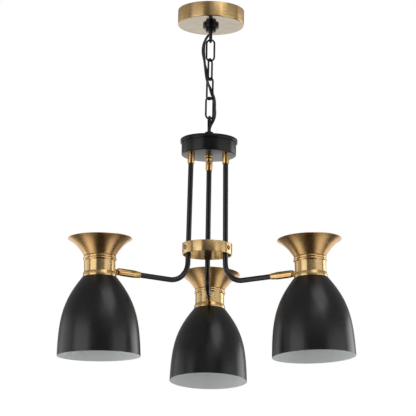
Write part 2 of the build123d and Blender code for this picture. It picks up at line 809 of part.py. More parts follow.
head_pieces = {
    "knuckle_tongue": knuckle_tongue(),
    "neck": neck(),
    "trumpet": on_head_axis(trumpet()),
    "head_bolt": on_head_axis(head_bolt()),
    "lampholder": on_head_axis(lampholder()),
    "socket_contacts": on_head_axis(socket_contacts()),
    "shade": on_head_axis(shade()),
    "shade_ring": on_head_axis(shade_ring()),
}
for index in range(len(arm_angles_deg)):
    save(f"arm_tube_{index + 1}", on_arm(index, arm_tube()))
    save(f"knuckle_sleeve_{index + 1}", at_pivot(index, knuckle_sleeve()))
    for name, piece in head_pieces.items():
        save(f"{name}_{index + 1}", at_pivot(index, Rot(0, head_lean_deg[index], 0) * piece))
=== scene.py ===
import json
import math

import bmesh
import bpy
from mathutils import Matrix, Vector


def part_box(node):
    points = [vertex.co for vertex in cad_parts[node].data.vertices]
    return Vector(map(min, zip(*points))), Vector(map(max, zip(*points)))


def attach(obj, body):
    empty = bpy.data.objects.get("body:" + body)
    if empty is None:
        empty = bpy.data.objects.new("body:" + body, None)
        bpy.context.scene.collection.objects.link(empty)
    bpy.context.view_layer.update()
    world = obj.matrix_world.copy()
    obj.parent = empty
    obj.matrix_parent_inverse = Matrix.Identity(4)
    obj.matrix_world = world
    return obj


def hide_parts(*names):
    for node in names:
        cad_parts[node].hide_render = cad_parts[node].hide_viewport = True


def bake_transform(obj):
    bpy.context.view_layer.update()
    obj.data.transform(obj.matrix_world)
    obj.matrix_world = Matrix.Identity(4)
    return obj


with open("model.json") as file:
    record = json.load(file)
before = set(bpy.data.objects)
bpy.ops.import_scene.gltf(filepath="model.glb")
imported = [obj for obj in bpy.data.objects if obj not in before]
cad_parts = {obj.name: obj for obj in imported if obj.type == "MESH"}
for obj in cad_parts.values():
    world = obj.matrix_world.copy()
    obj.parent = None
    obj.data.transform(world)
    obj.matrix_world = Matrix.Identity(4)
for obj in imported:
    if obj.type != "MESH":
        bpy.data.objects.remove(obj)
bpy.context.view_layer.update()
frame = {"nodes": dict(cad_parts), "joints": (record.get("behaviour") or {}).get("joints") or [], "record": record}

# Metres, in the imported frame: +Z up, the origin in the ceiling plane on the chain's line.

joints = {joint["name"]: joint for joint in frame["joints"]}
slotOf = {part["node"]: part["material_slot"] for part in frame["record"]["subparts"]}
socketMounts = [mount for mount in frame["record"]["mounts"] if mount["name"].startswith("lamp_socket")]
headCount = len(socketMounts)
sharpAngle = math.radians(32.0)
tiny = 1e-6


# Node trees

def addNode(tree, kind, inputs=None, **settings):
    node = tree.nodes.new(kind)
    for name, value in settings.items():
        setattr(node, name, value)
    for name, value in (inputs or {}).items():
        if isinstance(value, bpy.types.NodeSocket):
            tree.links.new(value, node.inputs[name])
        else:
            node.inputs[name].default_value = value
    return node


def addOutput(tree, kind, inputs=None, **settings):
    # a new node's first output
    return addNode(tree, kind, inputs, **settings).outputs[0]


def newGroup(name, kind, inputs, outputs):
    tree = bpy.data.node_groups.new(name, kind)
    for inOut, sockets in (("INPUT", inputs), ("OUTPUT", outputs)):
        for socketName, socketKind in sockets.items():
            tree.interface.new_socket(socketName, in_out=inOut, socket_type="NodeSocket" + socketKind)
    return tree, tree.nodes.new("NodeGroupInput").outputs, tree.nodes.new("NodeGroupOutput")


def maths(tree, operation, *values):
    return addOutput(tree, "ShaderNodeMath", dict(enumerate(values)), operation=operation)


def joinXyz(tree, x, y, z):
    return addOutput(tree, "ShaderNodeCombineXYZ", {"X": x, "Y": y, "Z": z})


def splitXyz(tree, value):
    return addNode(tree, "ShaderNodeSeparateXYZ", {0: value}).outputs


def mapRange(tree, value, given=(0.0, 1.0), wanted=(0.0, 1.0)):
    # a value moved from the given limits to the wanted ones and held between them
    limits = {"From Min": given[0], "From Max": given[1], "To Min": wanted[0], "To Max": wanted[1]}
    return addOutput(tree, "ShaderNodeMapRange", {"Value": value, **limits})


# Shared surface effects. Each gives masks from 0 to 1.

maskSettings = {
    "Lines": {"detail": 4.0, "limits": (0.32, 0.68)},
    "Cloud": {"detail": 5.0, "limits": (0.3, 0.7)},
    "Grain": {"detail": 2.0, "limits": (0.3, 0.7)},
}


def noiseMask(tree, name, point, scale):
    setting = maskSettings[name]
    inputs = {"Vector": point, "Scale": scale, "Detail": setting["detail"]}
    return mapRange(tree, addOutput(tree, "ShaderNodeTexNoise", inputs), setting["limits"])


def makeBrushLines():
    # fine lines that run round a turned piece: long round it, a fraction of a millimetre apart along it
    inputs = {"Lines per metre": "Float", "Length": "Float"}
    tree, given, result = newGroup("brushLines", "ShaderNodeTree", inputs, {"Lines": "Float"})
    place = splitXyz(tree, addOutput(tree, "ShaderNodeUVMap", uv_map="UVMap"))
    angle = maths(tree, "MULTIPLY", place["X"], 2 * math.pi)
    stretch = maths(tree, "DIVIDE", 1.0, given["Length"])
    across = maths(tree, "MULTIPLY", maths(tree, "COSINE", angle), stretch)
    along = maths(tree, "MULTIPLY", maths(tree, "SINE", angle), stretch)
    height = maths(tree, "MULTIPLY", place["Y"], given["Lines per metre"])
    lines = noiseMask(tree, "Lines", joinXyz(tree, across, along, height), 1.0)
    tree.links.new(lines, result.inputs["Lines"])
    return tree


def makeCloudAndGrain():
    # slow blotches and a fine grain, both from the piece's own coordinates
    inputs = {"Cloud scale": "Float", "Grain scale": "Float"}
    outputs = {"Cloud": "Float", "Grain": "Float"}
    tree, given, result = newGroup("cloudAndGrain", "ShaderNodeTree", inputs, outputs)
    point = addNode(tree, "ShaderNodeTexCoord").outputs["Object"]
    for name in ("Cloud", "Grain"):
        tree.links.new(noiseMask(tree, name, point, given[name + " scale"]), result.inputs[name])
    return tree


brushLines = makeBrushLines()
cloudAndGrain = makeCloudAndGrain()


# Materials

# What a finish doesn't name comes from its kind. Rough and bump say which mask drives them.
brushed = {"length": 0.35, "lineShare": 0.55, "cloud": 38.0, "depth": 0.000005, "strength": 0.1}
metal = {"metallic": 1.0, "specular": 0.5, "rough": "Grain", "bump": "Grain"}
brass = {**metal, "depth": 0.000003, "strength": 0.2}
steel = {**metal, "cloud": 160.0, "grain": 3000.0, "depth": 0.00001, "strength": 0.5}
paint = {**steel, "metallic": 0.0, "rough": "Cloud", "cloud": 30.0, "grain": 1400.0, "depth": 0.00002}
plastic = {**paint, "depth": 0.00003}
soot, pitch = (0.008, 0.008, 0.008), (0.013, 0.013, 0.0135)


def tones(kind, dark, light, roughness, **rest):
    # a kind's values with two colours, the limits of the roughness and what else is its own
    return {**kind, "dark": dark, "light": light, "roughness": roughness, **rest}


brushedBrasses = {
    "canopyBrass": tones(brushed, (0.64, 0.405, 0.165), (0.82, 0.575, 0.285), (0.27, 0.35), lines=420.0),
    "neckBrass": tones(brushed, (0.66, 0.425, 0.18), (0.84, 0.60, 0.305), (0.26, 0.31), lines=1400.0),
    "trumpetBrass": tones(brushed, (0.61, 0.35, 0.136), (0.80, 0.52, 0.24), (0.33, 0.40), lines=1000.0),
}
plainFinishes = {
    # small turned fittings, with no brushing to follow
    "fineBrass": tones(brass, (0.56, 0.33, 0.12), (0.84, 0.56, 0.25), (0.13, 0.20), cloud=90.0, grain=2600.0),
    # the canopy's flat underside, buffed finer than its side, in a paler, greyer brass that paints in the whitish
    # reflection it shows from below
    "underBrassPaintedReflection": tones(
        brass, (0.36, 0.296, 0.217), (0.43, 0.352, 0.257), (0.10, 0.17),
        cloud=55.0, grain=1500.0, bump="Cloud", depth=0.00004, strength=0.3,
    ),
    # the ring's screws, coloured darker than the ring: painted shade standing for the shadow and dark reflection
    # round their heads
    "screwBrassPaintedShade": tones(brass, (0.28, 0.16, 0.065), (0.64, 0.42, 0.2), (0.06, 0.12), cloud=350.0, grain=900.0),
    "blackGloss": tones(paint, soot, pitch, (0.18, 0.26), depth=0.00001, specular=0.3),
    "hubBlack": tones(paint, soot, pitch, (0.24, 0.31), depth=0.000012, specular=0.32),
    "blackSatin": tones(paint, (0.006, 0.006, 0.006), (0.010, 0.010, 0.0105), (0.26, 0.32), depth=0.000012),
    "shadeInside": tones(paint, (0.86, 0.875, 0.88), (0.89, 0.905, 0.91), (0.55, 0.65)),
    "leadJacket": tones(plastic, (0.016, 0.016, 0.017), (0.030, 0.030, 0.032), (0.34, 0.46), grain=900.0),
    "leadStrand": tones(plastic, (0.02, 0.02, 0.021), (0.045, 0.045, 0.047), (0.25, 0.35), grain=900.0),
    "blackPlastic": tones(plastic, (0.025, 0.025, 0.025), (0.04, 0.04, 0.04), (0.42, 0.52), grain=700.0),
    "orangePlastic": tones(paint, (0.68, 0.24, 0.03), (0.78, 0.32, 0.05), (0.30, 0.40)),
    "greenScrew": tones(paint, (0.03, 0.28, 0.09), (0.06, 0.38, 0.14), (0.30, 0.42)),
    "zincSteel": tones(steel, (0.46, 0.47, 0.50), (0.62, 0.63, 0.66), (0.28, 0.42)),
    "contactBrass": tones(steel, (0.66, 0.50, 0.24), (0.80, 0.64, 0.34), (0.22, 0.34)),
}
finishOfSlot = {
    "antique_brass": "fineBrass", "black_metal": "blackGloss", "shade_black": "blackSatin",
    "zinc_steel": "zincSteel", "ground_green": "greenScrew", "bushing_plastic": "blackPlastic",
    "connector_plastic": "orangePlastic", "holder_plastic": "blackPlastic",
    "contact_brass": "contactBrass", "lead_jacket": "leadJacket",
}


def startMaterial(name, constants):
    material = bpy.data.materials.new(name)
    material.use_nodes = True
    tree = material.node_tree
    shader = tree.nodes["Principled BSDF"]
    for socketName, value in constants.items():
        shader.inputs[socketName].default_value = value
    return material, tree, shader


def useGroup(tree, group, inputs):
    return addNode(tree, "ShaderNodeGroup", inputs, node_tree=group).outputs


def mixColours(tree, factor, look):
    node = addNode(tree, "ShaderNodeMix", {"Factor": factor}, data_type="RGBA")
    colourInputs = [socket for socket in node.inputs if socket.type == "RGBA"]
    for socket, colour in zip(colourInputs, (look["dark"], look["light"])):
        socket.default_value = (*colour, 1)
    return [socket for socket in node.outputs if socket.type == "RGBA"][0]


def dress(tree, shader, look, colourMask, roughMask, bumpMask):
    # the look's colours and roughness by their masks, and a small bump
    tree.links.new(mixColours(tree, colourMask, look), shader.inputs["Base Color"])
    tree.links.new(mapRange(tree, roughMask, wanted=look["roughness"]), shader.inputs["Roughness"])
    relief = {"Height": bumpMask, "Distance": look["depth"], "Strength": look["strength"]}
    tree.links.new(addOutput(tree, "ShaderNodeBump", relief), shader.inputs["Normal"])


def makeBrushedBrass(name, look):
    constants = {"Metallic": 1.0, "Anisotropic": 0.85, "Anisotropic Rotation": 0.25}
    material, tree, shader = startMaterial(name, constants)
    lineInputs = {"Lines per metre": look["lines"], "Length": look["length"]}
    lines = useGroup(tree, brushLines, lineInputs)["Lines"]
    cloud = useGroup(tree, cloudAndGrain, {"Cloud scale": look["cloud"]})["Cloud"]
    lineShare = maths(tree, "MULTIPLY", lines, look["lineShare"])
    cloudShare = maths(tree, "MULTIPLY", cloud, 1 - look["lineShare"])
    dress(tree, shader, look, maths(tree, "ADD", lineShare, cloudShare), lines, lines)
    tangent = addOutput(tree, "ShaderNodeTangent", direction_type="UV_MAP", uv_map="UVMap")
    tree.links.new(tangent, shader.inputs["Tangent"])
    return material


def makePlainFinish(name, look):
    constants = {"Metallic": look["metallic"], "Specular IOR Level": look["specular"]}
    material, tree, shader = startMaterial(name, constants)
    masks = useGroup(tree, cloudAndGrain, {"Cloud scale": look["cloud"], "Grain scale": look["grain"]})
    dress(tree, shader, look, masks["Cloud"], masks[look["rough"]], masks[look["bump"]])
    return material


finishes = {name: makeBrushedBrass(name, look) for name, look in brushedBrasses.items()}
finishes.update({name: makePlainFinish(name, look) for name, look in plainFinishes.items()})
for node, slotName in slotOf.items():
    cadMesh = frame["nodes"][node].data
    cadMesh.materials.clear()
    # the ring's screws take a darker brass that paints in the shade round their heads
    finishName = "screwBrassPaintedShade" if node == "ring_screws" else finishOfSlot[slotName]
    cadMesh.materials.append(finishes[finishName])
print("materials made")


# Pieces

def linked(name, data):
    # a new object in the scene
    obj = bpy.data.objects.new(name, data)
    bpy.context.scene.collection.objects.link(obj)
    return obj


def meshOf(obj):
    # the object's final mesh, which outlives the object
    mesh = bpy.data.meshes.new_from_object(obj.evaluated_get(bpy.context.evaluated_depsgraph_get()))
    bpy.data.objects.remove(obj)
    return mesh


def addPiece(name, mesh, body, node):
    # a finished piece at the origin, standing for the CAD node it is made after
    mesh.name = name
    obj = linked(name, mesh)
    if body:
        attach(obj, body)
    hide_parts(node)
    return obj


def smoothed(mesh):
    mesh.shade_smooth()
    mesh.set_sharp_from_angle(angle=sharpAngle)
    return mesh


def finishMesh(form, *finishNames):
    mesh = bpy.data.meshes.new("mesh")
    form.to_mesh(mesh)
    form.free()
    for finishName in finishNames:
        mesh.materials.append(finishes[finishName])
    return smoothed(mesh)


def formOf(*meshes):
    # the meshes as one form to edit, instead of them
    form = bmesh.new()
    for mesh in meshes:
        form.from_mesh(mesh)
        bpy.data.meshes.remove(mesh)
    return form


def joinMeshes(meshes, *finishNames):
    return finishMesh(formOf(*meshes), *finishNames)


def placed(mesh, place):
    mesh.transform(place)
    return mesh


def rotation(degrees, axis):
    return Matrix.Rotation(math.radians(degrees), 4, axis)


def yawed(mesh, degrees):
    return placed(mesh, rotation(degrees, "Z"))


def turnTowards(start, end, share):
    # start turned about zero by a share of the angle to end
    angle = math.atan2(start.cross(end), start.dot(end)) * share
    cosine, sine = math.cos(angle), math.sin(angle)
    return Vector((start.x * cosine - start.y * sine, start.x * sine + start.y * cosine))


def rounded(corners, steps=5):
    # a closed outline of (radius, height) corners; a third value is the radius that rounds a corner off
    points = []
    for index, (radius, height, *fillet) in enumerate(corners):
        here = Vector((radius, height))
        if not fillet:
            points.append(here)
            continue
        before = (Vector(corners[index - 1][:2]) - here).normalized()
        after = (Vector(corners[(index + 1) % len(corners)][:2]) - here).normalized()
        halfAngle = before.angle(after) / 2
        centre = here + (before + after).normalized() * fillet[0] / math.sin(halfAngle)
        start = here + before * fillet[0] / math.tan(halfAngle) - centre
        end = here + after * fillet[0] / math.tan(halfAngle) - centre
        points += [centre + turnTowards(start, end, step / steps) for step in range(steps + 1)]
    return points


def arcThrough(start, middle, end, steps=8):
    # points on the circle through three (radius, height) points, without the last one
    a, b, c = Vector(start), Vector(middle), Vector(end)
    d = 2 * (a.x * (b.y - c.y) + b.x * (c.y - a.y) + c.x * (a.y - b.y))
    x = (a.length_squared * (b.y - c.y) + b.length_squared * (c.y - a.y) + c.length_squared * (a.y - b.y)) / d
    y = (a.length_squared * (c.x - b.x) + b.length_squared * (a.x - c.x) + c.length_squared * (b.x - a.x)) / d
    centre = Vector((x, y))
    half = steps // 2
    points = [centre + turnTowards(a - centre, b - centre, step / half) for step in range(half)]
    return points + [centre + turnTowards(b - centre, c - centre, step / half) for step in range(half)]


def arcOnAxis(radius, height, start, turn, steps):
    # (radius, height) points on an arc round the axis's point at that height, from start through the turn
    angles = [start + turn * step / steps for step in range(steps + 1)]
    return [Vector((radius * math.cos(angle), height + radius * math.sin(angle))) for angle in angles]


def addQuad(form, uvLayer, corners, turns, lengths, material):
    # one face with its UV: the share of a turn round the piece and the metres along it
    face = form.faces.new(corners)
    face.material_index = material
    places = ((turns[0], lengths[0]), (turns[1], lengths[0]), (turns[1], lengths[1]), (turns[0], lengths[1]))
    for loop, place in zip(face.loops, places):
        loop[uvLayer].uv = place


def lathe(corners, steps=96, material=0):
    # a closed outline, rounded where its corners say so, turned round Z
    outline = rounded(corners)
    form = bmesh.new()
    uvLayer = form.loops.layers.uv.new("UVMap")
    count = len(outline)
    lengths = [0.0]
    for index in range(count):
        step = Vector(outline[(index + 1) % count]) - Vector(outline[index])
        lengths.append(lengths[-1] + step.length)
    columns = []
    for step in range(steps):
        angle = 2 * math.pi * step / steps
        columns.append([form.verts.new((r * math.cos(angle), r * math.sin(angle), z)) for r, z in outline])
    for step in range(steps):
        near, far = columns[step], columns[(step + 1) % steps]
        turns = (step / steps, (step + 1) / steps)
        for index in range(count):
            after = (index + 1) % count
            if max(outline[index][0], outline[after][0]) > tiny:
                edges = (near[index], far[index], far[after], near[after])
                addQuad(form, uvLayer, edges, turns, lengths[index : index + 2], material)
    bmesh.ops.remove_doubles(form, verts=form.verts, dist=tiny)
    bmesh.ops.recalc_face_normals(form, faces=form.faces)
    return finishMesh(form)


def sweep(points, radius, sides, material=0):
    # a round bar with closed ends along the points
    form = bmesh.new()
    uvLayer = form.loops.layers.uv.new("UVMap")
    directions = [(b - a).normalized() for a, b in zip(points, points[1:])]
    tangents = [directions[0]] + [(a + b).normalized() for a, b in zip(directions, directions[1:])]
    tangents.append(directions[-1])
    side = tangents[0].orthogonal().normalized()
    rings = []
    lengths = [0.0]
    for index, (point, tangent) in enumerate(zip(points, tangents)):
        if index:
            side = tangents[index - 1].rotation_difference(tangent) @ side
            lengths.append(lengths[-1] + (point - points[index - 1]).length)
        other = tangent.cross(side)
        angles = [2 * math.pi * step / sides for step in range(sides)]
        offsets = [side * math.cos(angle) + other * math.sin(angle) for angle in angles]
        rings.append([form.verts.new(point + offset * radius) for offset in offsets])
    for row, (near, far) in enumerate(zip(rings, rings[1:])):
        for step in range(sides):
            after = (step + 1) % sides
            corners = (near[step], near[after], far[after], far[step])
            turns = (step / sides, (step + 1) / sides)
            addQuad(form, uvLayer, corners, turns, lengths[row : row + 2], material)
    for ring in (rings[0], rings[-1]):
        form.faces.new(ring).material_index = material
    bmesh.ops.recalc_face_normals(form, faces=form.faces)
    return finishMesh(form)


# Geometry node trees

treeSizes = {
    "linkCorner": 0.4999,  # of the width, a little under half so that neighbouring corners don't meet
    "linkBend": 14, "linkRound": 24, "bellOutline": 64, "tubeBend": 24, "tubeRound": 28, "tubeRun": 0.004,
    "pointMatch": 0.1,
}


def addShape(tree, kind, inputs=None, **settings):
    return addOutput(tree, "GeometryNode" + kind, inputs, **settings)


def newShape(name, **inputs):
    return newGroup(name, "GeometryNodeTree", {**inputs, "material": "Material"}, {"Geometry": "Geometry"})


def closeShape(tree, given, result, geometry):
    real = addShape(tree, "RealizeInstances", {0: geometry})
    dressing = {"Geometry": real, "Material": given["material"]}
    painted = addShape(tree, "SetMaterial", dressing)
    tree.links.new(painted, result.inputs["Geometry"])
    return tree


def grow(tree, **values):
    # the tree's result as a plain mesh
    host = linked("host", bpy.data.meshes.new("host"))
    modifier = host.modifiers.new("shape", "NODES")
    modifier.node_group = tree
    for item in tree.interface.items_tree:
        if item.in_out == "INPUT" and item.name in values:
            modifier[item.identifier] = values[item.name]
    return smoothed(meshOf(host))


def roundBar(tree, curve, radius, sides, ends):
    circle = addShape(tree, "CurvePrimitiveCircle", {"Resolution": sides, "Radius": radius})
    return addShape(tree, "CurveToMesh", {"Curve": curve, "Profile Curve": circle, **ends})


def makeOvalLink():
    # a rectangle rounded to half its width, swept with round wire, upright in the XZ plane
    tree, given, result = newShape("ovalLink", wire="Float", length="Float", width="Float")
    middleWidth = maths(tree, "SUBTRACT", given["width"], given["wire"])
    middleLength = maths(tree, "SUBTRACT", given["length"], given["wire"])
    middleLine = {"Width": middleWidth, "Height": middleLength}
    oval = addShape(tree, "CurvePrimitiveQuadrilateral", middleLine)
    cornerRadius = maths(tree, "MULTIPLY", middleWidth, treeSizes["linkCorner"])
    bend = {"Curve": oval, "Radius": cornerRadius, "Count": treeSizes["linkBend"]}
    fillet = addShape(tree, "FilletCurve", bend, mode="POLY")
    wireRadius = maths(tree, "MULTIPLY", given["wire"], 0.5)
    bar = roundBar(tree, fillet, wireRadius, treeSizes["linkRound"], {})
    standing = {"Geometry": bar, "Rotation": (math.pi / 2, 0.0, 0.0)}
    return closeShape(tree, given, result, addShape(tree, "Transform", standing))


def makeBell():
    # a Bezier outline of (radius, 0, height) turned round Z
    ends = dict.fromkeys(("start", "startHandle", "endHandle", "end"), "Vector")
    tree, given, result = newShape("bell", **ends, rings="Int", segments="Int")
    bend = {"Start": given["start"], "Start Handle": given["startHandle"], "End": given["end"]}
    bend.update({"End Handle": given["endHandle"], "Resolution": treeSizes["bellOutline"]})
    outline = addShape(tree, "CurvePrimitiveBezierSegment", bend)
    columns = maths(tree, "ADD", given["segments"], 1.0)
    rows = maths(tree, "ADD", given["rings"], 1.0)
    sheet = {"Size X": 1.0, "Size Y": 1.0, "Vertices X": columns, "Vertices Y": rows}
    grid = addNode(tree, "GeometryNodeMeshGrid", sheet).outputs
    stored = {"Geometry": grid["Mesh"], "Name": "UVMap"}
    withUv = addNode(tree, "GeometryNodeStoreNamedAttribute", stored, data_type="FLOAT2", domain="CORNER")
    uvInput = [socket for socket in withUv.inputs if socket.name == "Value" and socket.enabled][0]
    length = addShape(tree, "CurveLength", {0: outline})
    share = splitXyz(tree, grid["UV Map"])
    along = maths(tree, "MULTIPLY", share["Y"], length)
    tree.links.new(joinXyz(tree, share["X"], along, 0.0), uvInput)
    flat = splitXyz(tree, addShape(tree, "InputPosition"))
    angle = maths(tree, "MULTIPLY", maths(tree, "ADD", flat["X"], 0.5), 2 * math.pi)
    factor = maths(tree, "ADD", flat["Y"], 0.5)
    sample = addNode(tree, "GeometryNodeSampleCurve", {"Curves": outline, "Factor": factor}, mode="FACTOR")
    point = splitXyz(tree, sample.outputs["Position"])
    x = maths(tree, "MULTIPLY", point["X"], maths(tree, "COSINE", angle))
    y = maths(tree, "MULTIPLY", point["X"], maths(tree, "SINE", angle))
    turned = joinXyz(tree, x, y, point["Z"])
    shell = addShape(tree, "SetPosition", {"Geometry": withUv.outputs[0], "Position": turned})
    merged = addShape(tree, "MergeByDistance", {"Geometry": shell, "Distance": tiny})
    return closeShape(tree, given, result, merged)


def makeBentTube():
    # two straight runs with a filleted corner between them, swept with a round pipe
    corners = dict.fromkeys(("top", "corner", "end"), "Vector")
    tree, given, result = newShape("bentTube", **corners, bend="Float", radius="Float")
    first = addShape(tree, "CurvePrimitiveLine", {"Start": given["top"], "End": given["corner"]})
    line = addShape(tree, "ResampleCurve", {"Curve": first, "Count": len(corners)})
    index = addShape(tree, "InputIndex")
    for number, name in ((1.0, "corner"), (2.0, "end")):
        chosen = maths(tree, "COMPARE", index, number, treeSizes["pointMatch"])
        moved = {"Geometry": line, "Selection": chosen, "Position": given[name]}
        line = addShape(tree, "SetPosition", moved)
    bend = {"Curve": line, "Radius": given["bend"], "Count": treeSizes["tubeBend"]}
    fillet = addShape(tree, "FilletCurve", bend, mode="POLY")
    runs = {"Curve": fillet, "Length": treeSizes["tubeRun"]}
    fine = addShape(tree, "ResampleCurve", runs, mode="LENGTH")
    pipe = roundBar(tree, fine, given["radius"], treeSizes["tubeRound"], {"Fill Caps": True})
    return closeShape(tree, given, result, pipe)


def makeRoundColumn():
    # copies of a piece turned evenly round Z
    tree, given, result = newShape("roundColumn", piece="Object", count="Int", firstAngle="Float")
    piece = addNode(tree, "GeometryNodeObjectInfo", {"Object": given["piece"]}).outputs["Geometry"]
    points = addShape(tree, "MeshLine", {"Count": given["count"], "Offset": (0.0, 0.0, 0.0)})
    copies = addShape(tree, "InstanceOnPoints", {"Points": points, "Instance": piece})
    index = addShape(tree, "InputIndex")
    spacing = maths(tree, "DIVIDE", 2 * math.pi, given["count"])
    angle = maths(tree, "ADD", maths(tree, "MULTIPLY", index, spacing), given["firstAngle"])
    turn = joinXyz(tree, 0.0, 0.0, angle)
    turning = {"Instances": copies, "Rotation": turn, "Local Space": False}
    return closeShape(tree, given, result, addShape(tree, "RotateInstances", turning))


ovalLink = makeOvalLink()
bell = makeBell()
bentTube = makeBentTube()
roundColumn = makeRoundColumn()
print("geometry trees made")


# Camera, fitted to the photo's outlines

cameraFit = {
    "focalPixels": 1996.158, "imagePixels": 416, "sensor": 36.0, "distance": 3.475043, "side": 0.000256,
    "height": -1.121905, "pitch": 12.26, "roll": 0.953, "objectTurn": -1.719,
}


def addCamera(fit):
    data = bpy.data.cameras.new("photoCamera")
    data.sensor_width = fit["sensor"]
    data.lens = fit["focalPixels"] / fit["imagePixels"] * fit["sensor"]
    turn = rotation(-fit["objectTurn"], "Z")
    place = Matrix.Translation((fit["side"], -fit["distance"], fit["height"]))
    aim = rotation(90 + fit["pitch"], "X")
    roll = rotation(fit["roll"], "Z")
    camera = linked("photoCamera", data)
    camera.matrix_world = turn @ place @ aim @ roll
    bpy.context.scene.camera = camera


addCamera(cameraFit)


# Supply lead: one open curve through the route's points, and a tube with a thin strand twisted round it

lead = {
    "diameter": 0.005, "jacketRadius": 0.0023, "jacketSides": 18, "strandRadius": 0.0014, "strandSides": 10,
    "strandOffset": 0.0029, "strandPitch": 0.085, "hiddenEnd": 0.012,
    "drawnIn": 0.35,  # of the strand's offset, in the bushings
    "drawStart": 0.5,  # of a hidden end, from the lead's end
    "curveSteps": 14,
    "route": (
        ((0.0, 0.0, -0.0375), (0.0, 0.0, -0.043), (-0.0066, -0.0016, -0.0492), (-0.0112, -0.0032, -0.060),
         (-0.0119, -0.0034, -0.075)),
        ((-0.011, -0.0036, -0.091), (-0.009, -0.0036, -0.107)),
        ((-0.0074, -0.002, -0.1215), (-0.005, -0.0012, -0.1335), (0.0004, 0.0002, -0.145)),
        ((0.005, 0.0008, -0.155), (0.009, -0.0009, -0.1665), (0.0098, -0.0022, -0.180)),
        ((0.0088, -0.0022, -0.192), (0.0064, -0.0012, -0.205), (0.0024, -0.0002, -0.216), (0.0, 0.0, -0.2245),
         (0.0, 0.0, -0.232)),
    ),
}


def lengthOf(points):
    return sum((b - a).length for a, b in zip(points, points[1:]))


def readLeadPoints(size):
    data = bpy.data.curves.new("leadLine", "CURVE")
    data.dimensions = "3D"
    data.resolution_u = size["curveSteps"]
    spline = data.splines.new("NURBS")
    corners = [point for span in size["route"] for point in span]
    spline.points.add(len(corners) - 1)
    for point, corner in zip(spline.points, corners):
        point.co = (*corner, 1)
    spline.order_u = 3
    spline.use_endpoint_u = True
    mesh = meshOf(linked("leadLine", data))
    points = [vertex.co.copy() for vertex in mesh.vertices]
    bpy.data.meshes.remove(mesh)
    return points


def twistedStrand(points, size):
    # drawn in close to the jacket where the lead runs hidden in its bushings
    strand = []
    passed = 0.0
    whole = lengthOf(points)
    side = Vector((1, 0, 0))
    for index, point in enumerate(points):
        ahead = points[min(index + 1, len(points) - 1)] - points[max(index - 1, 0)]
        tangent = ahead.normalized()
        side = (side - tangent * side.dot(tangent)).normalized()
        if index:
            passed += (point - points[index - 1]).length
        angle = 2 * math.pi * passed / size["strandPitch"]
        clear = min(passed, whole - passed) / size["hiddenEnd"] - size["drawStart"]
        out = size["strandOffset"] * min(max(clear, size["drawnIn"]), 1.0)
        strand.append(point + (side * math.cos(angle) + tangent.cross(side) * math.sin(angle)) * out)
    return strand


def addLead(size):
    points = readLeadPoints(size)
    strand = twistedStrand(points, size)
    seams = [(a[-1][2] + b[0][2]) / 2 for a, b in zip(size["route"], size["route"][1:])]
    limits = [points[0].z] + seams + [points[-1].z]
    for index in range(len(size["route"])):
        top, foot = limits[index], limits[index + 1]
        first = max(i for i, point in enumerate(points) if point.z >= top - tiny)
        last = min(i for i, point in enumerate(points) if point.z <= foot + tiny)
        span = points[first : last + 1]
        jacket = sweep(span, size["jacketRadius"], size["jacketSides"])
        thread = sweep(strand[first : last + 1], size["strandRadius"], size["strandSides"], material=1)
        mesh = joinMeshes([jacket, thread], "leadJacket", "leadStrand")
        piece = addPiece(f"lead_{index + 1}", mesh, None, f"lead_span_{index + 1}")
        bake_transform(piece)


addLead(lead)
print("lead made")


# Ceiling end

rodHole = 0.00495
canopySizes = {
    "wall": 0.0012, "edge": 0.0013, "lip": 0.0003, "floorInset": 0.002, "bend": 0.001, "steps": 160,
}
ringNutSizes = {"edge": 0.0016, "lip": 0.0003}
canopyLoopSizes = {
    "wire": 0.004, "width": 0.0174, "collar": 0.00925, "collarHeight": 0.0065, "edge": 0.0008, "lip": 0.0002,
    "inlet": 0.0034, "inletDepth": 0.002, "coneDepth": 0.003, "root": 0.001, "sides": 24, "arcSteps": 20,
    "legSteps": 4, "yaw": -80.0,
}


def addCanopy(size):
    low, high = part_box("canopy")
    radius, foot = high[0], low[2]
    inside = radius - size["wall"]
    floorEdge = radius - size["floorInset"]
    floorTop = foot + size["wall"]
    side = [
        (inside, 0.0, size["lip"]),
        (radius, 0.0, size["lip"]),
        (radius, foot, size["edge"]),
        (floorEdge, foot),
        (floorEdge, floorTop),
        (inside, floorTop + size["bend"]),
    ]
    floor = [(floorEdge, foot), (rodHole, foot), (rodHole, floorTop), (floorEdge, floorTop)]
    meshes = [lathe(side, size["steps"]), lathe(floor, size["steps"], material=1)]
    # the canopy's floor gets the paler, greyer brass, a painted reflection
    mesh = joinMeshes(meshes, "canopyBrass", "underBrassPaintedReflection")
    addPiece("canopyShell", mesh, "ceiling_mount", "canopy")


def addRingNut(size):
    low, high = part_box("canopy_ring_nut")
    top = [(rodHole, high[2]), (high[0], high[2], size["lip"])]
    outline = top + [(high[0], low[2], size["edge"]), (rodHole, low[2])]
    addPiece("ringNut", joinMeshes([lathe(outline)], "blackGloss"), "ceiling_mount", "canopy_ring_nut")


def loopOnCollar(path, collar, size):
    # a bent wire along the path of (x, height) points and the turned collar that holds it
    wire = sweep([Vector((x, 0, z)) for x, z in path], size["wire"] / 2, size["sides"])
    return yawed(joinMeshes([wire, lathe(collar)], "blackGloss"), size["yaw"])


def loopPath(leg, rootZ, arcZ, size):
    # down one leg, round the half circle and up the other leg, in the XZ plane
    down = [(-leg, rootZ + (arcZ - rootZ) * step / size["legSteps"]) for step in range(size["legSteps"])]
    arc = arcOnAxis(leg, arcZ, math.pi, math.pi, size["arcSteps"])
    up = [(leg, z) for x, z in reversed(down)]
    return [*down, *arc, *up]


